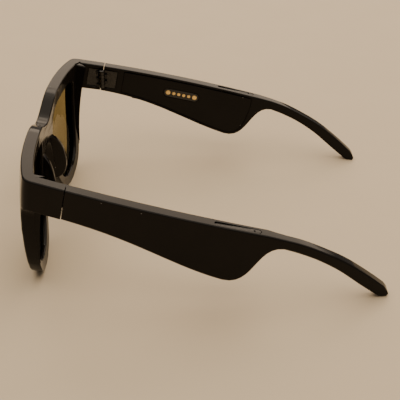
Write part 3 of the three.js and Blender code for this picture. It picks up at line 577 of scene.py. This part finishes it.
def front_moulding():
    """The front: outline and lens openings rounded, with a fine edge at both seams."""
    piece = copy_of("front_frame", "front_moulding")

    def rim_edge(skin, wall):
        return (abs(skin.normal.y) > FRONT_SKIN_FACING
                and abs(wall.normal.y) < RIM_WALL_FACING)

    def level_edge(skin, wall):
        return (abs(wall.normal.z) > LEVEL_WALL_FACING and span(wall, 0) > LEVEL_WIDTH * MM
                and abs(skin.normal.z) < UPRIGHT_SKIN_FACING)

    def outline(skin, wall, middle):
        if (span(wall, 1) < RIM_WIDTH * MM or span(skin, 2) < SKIN_HEIGHT * MM
                or not off_seam(middle)):
            return False
        if skin.normal.y > REAR_SKIN_FACING and abs(middle.x) > ENDPIECE_X * MM:
            return False
        return rim_edge(skin, wall) or level_edge(skin, wall)

    def lip(skin, wall, middle):
        return (rim_edge(skin, wall) and middle.z < LENS_TOP_Z
                and LIP_WIDTH * MM < span(wall, 1) <= RIM_WIDTH * MM)

    bevel_where(piece, BROW_ROUND, 4, outline)
    bevel_where(piece, LIP_ROUND, 3, lip)
    bevel_where(piece, SEAM_ROUND, 2, seam_edge)
    finish_piece(piece, "front", "gloss_black", "front_frame")


def temple_case(label, side):
    """A temple's shell: outer face rounded more below than above, inner face a little."""
    node = f"temple_shell_{label}"
    piece = copy_of(node, f"temple_case_{label}")
    cover_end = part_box(f"temple_cover_{label}")[1].y
    places = [(vertex.co.y, side * vertex.co.x) for vertex in piece.data.vertices]

    def depth(middle):
        near = [x for y, x in places if abs(y - middle.y) < NEARBY * MM]
        return max(near) - side * middle.x

    def is_wall(wall):
        return (abs(wall.normal.x) < TEMPLE_WALL_FACING
                and abs(wall.normal.y) < TEMPLE_END_FACING
                and span(wall, 0) > TEMPLE_WALL * MM)

    def outer(skin, wall, middle):
        return (side * skin.normal.x > TEMPLE_SKIN_FACING and is_wall(wall)
                and depth(middle) < OUTER_DEPTH * MM)

    def outer_top(skin, wall, middle):
        return outer(skin, wall, middle) and wall.normal.z > TEMPLE_TOP_FACING

    def outer_low(skin, wall, middle):
        return outer(skin, wall, middle) and wall.normal.z <= TEMPLE_TOP_FACING

    def inner(skin, wall, middle):
        on_skin = depth(middle) > INNER_DEPTH * MM or middle.y > cover_end
        return side * skin.normal.x < -TEMPLE_SKIN_FACING and is_wall(wall) and on_skin

    bevel_where(piece, TEMPLE_LOW_ROUND, 5, outer_low)
    bevel_where(piece, TEMPLE_TOP_ROUND, 4, outer_top)
    bevel_where(piece, TEMPLE_INNER_ROUND, 3, inner)
    bevel_where(piece, SEAM_ROUND, 2, seam_edge)
    finish_piece(piece, BODY_OF[node], "gloss_black", node)


def gold_contact(number):
    """Charging contact: a gold stud with a turned ring round its raised middle."""
    node = f"charging_contact_{number}"
    piece = copy_of(node, f"gold_contact_{number}")
    work_steps(piece, RIGHT_TEMPLE_IN, CONTACT_STEPS)
    round_edges(piece, STUD_ROUND, 2)
    finish_piece(piece, BODY_OF[node], "gold_contact", node)


def speaker(label, side):
    """Speaker: a rim, a rolled surround and a dished cone on the side of the outer wall."""
    node = f"speaker_driver_{label}"
    piece = copy_of(node, f"speaker_{label}")
    work_steps(piece, Vector((side, 0, 0)), SPEAKER_STEPS)
    round_edges(piece, SPEAKER_ROUND, 2)
    finish_piece(piece, BODY_OF[node], "satin_black", node)


def pouch_cell():
    """Battery: a foil pouch with a sealed lip at its front end."""
    node = "battery_cell"
    piece = copy_of(node, "pouch_cell")
    choose_face(piece, FORWARDS)
    bpy.ops.mesh.inset(thickness=CELL_LIP_BORDER * MM, depth=0, use_boundary=True)
    bpy.ops.mesh.extrude_region_move(
        TRANSFORM_OT_translate={"value": FORWARDS * CELL_LIP_LENGTH * MM})
    done()
    round_edges(piece, CELL_ROUND, 3)
    finish_piece(piece, BODY_OF[node], "foil", node)


def microphone_can():
    """Microphone: a metal can with a sunk sound port on the side of the outer wall."""
    node = "microphone"
    piece = copy_of(node, "microphone_can")
    work_steps(piece, RIGHT_TEMPLE_OUT, MICROPHONE_STEPS)
    round_edges(piece, MICROPHONE_ROUND, 2)
    finish_piece(piece, BODY_OF[node], "foil", node)


def board_turn():
    """Angle at which the board stands in the bowed temple, from its broad face."""
    faces = frame["nodes"]["circuit_board"].data.polygons
    broad = max(faces, key=lambda face: face.area).normal
    return math.atan(broad.y / broad.x)


def chips():
    """Packages soldered on the outer side of the board, each with a raised lid."""
    low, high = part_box("circuit_board")
    middle = (low + high) / 2
    turn = board_turn()
    offset = BOARD_HALF_THICK + CHIP_THICK / 2 + SOLDER_THICK
    for number, (along, up, length, height, slot) in enumerate(CHIPS, 1):
        place = middle + Vector((0, along * MM, up * MM))
        place.x = middle.x - along * MM * math.tan(turn) - offset * MM
        bpy.ops.object.select_all(action="DESELECT")
        bpy.ops.mesh.primitive_cube_add(size=MM, location=place, rotation=(0, 0, turn))
        piece = bpy.context.object
        piece.name = f"chip_{number}"
        piece.scale = (CHIP_THICK, length, height)
        bpy.ops.object.transform_apply(location=True, rotation=True, scale=True)
        work_steps(piece, RIGHT_TEMPLE_OUT, CHIP_STEPS)
        round_edges(piece, STUD_ROUND, 2)
        finish_piece(piece, BODY_OF["circuit_board"], slot)


front_moulding()
for label, side in SIDES:
    temple_case(label, side)
    moulded(f"temple_cover_{label}", f"inner_cover_{label}", COVER_ROUND, "gloss_black")
    moulded(f"lens_{label}", f"sun_lens_{label}", LENS_ROUND, "tinted_lens")
    moulded(f"hinge_front_leaf_{label}", f"front_hinge_{label}", METAL_ROUND, "hinge_steel")
    moulded(f"hinge_temple_leaf_{label}", f"temple_hinge_{label}", METAL_ROUND, "hinge_steel")
    moulded(f"hinge_screw_{label}", f"pin_screw_{label}", METAL_ROUND, "hinge_steel")
    moulded(f"speaker_grille_{label}", f"slot_grille_{label}", TRIM_ROUND, "dark_metal")
    moulded(f"speaker_gasket_{label}", f"foam_seal_{label}", TRIM_ROUND, "foam")
    speaker(label, side)
    moulded(f"arm_core_{label}", f"core_wire_{label}", TRIM_ROUND, "dark_metal")
    moulded(f"temple_ribbon_{label}", f"temple_flex_{label}", FILM_ROUND, "flex_film")
moulded("link_ribbon", "brow_flex", FILM_ROUND, "flex_film")
pouch_cell()
moulded("circuit_board", "main_board", BOARD_ROUND, "board_green")
moulded("contact_pad", "charging_pad", TRIM_ROUND, "satin_black")
for number in range(1, 7):
    gold_contact(number)
microphone_can()
chips()
moulded("button_switch", "switch_body", SWITCH_ROUND, "hinge_steel")
moulded("push_button", "power_button", BUTTON_ROUND, "satin_black", 3)
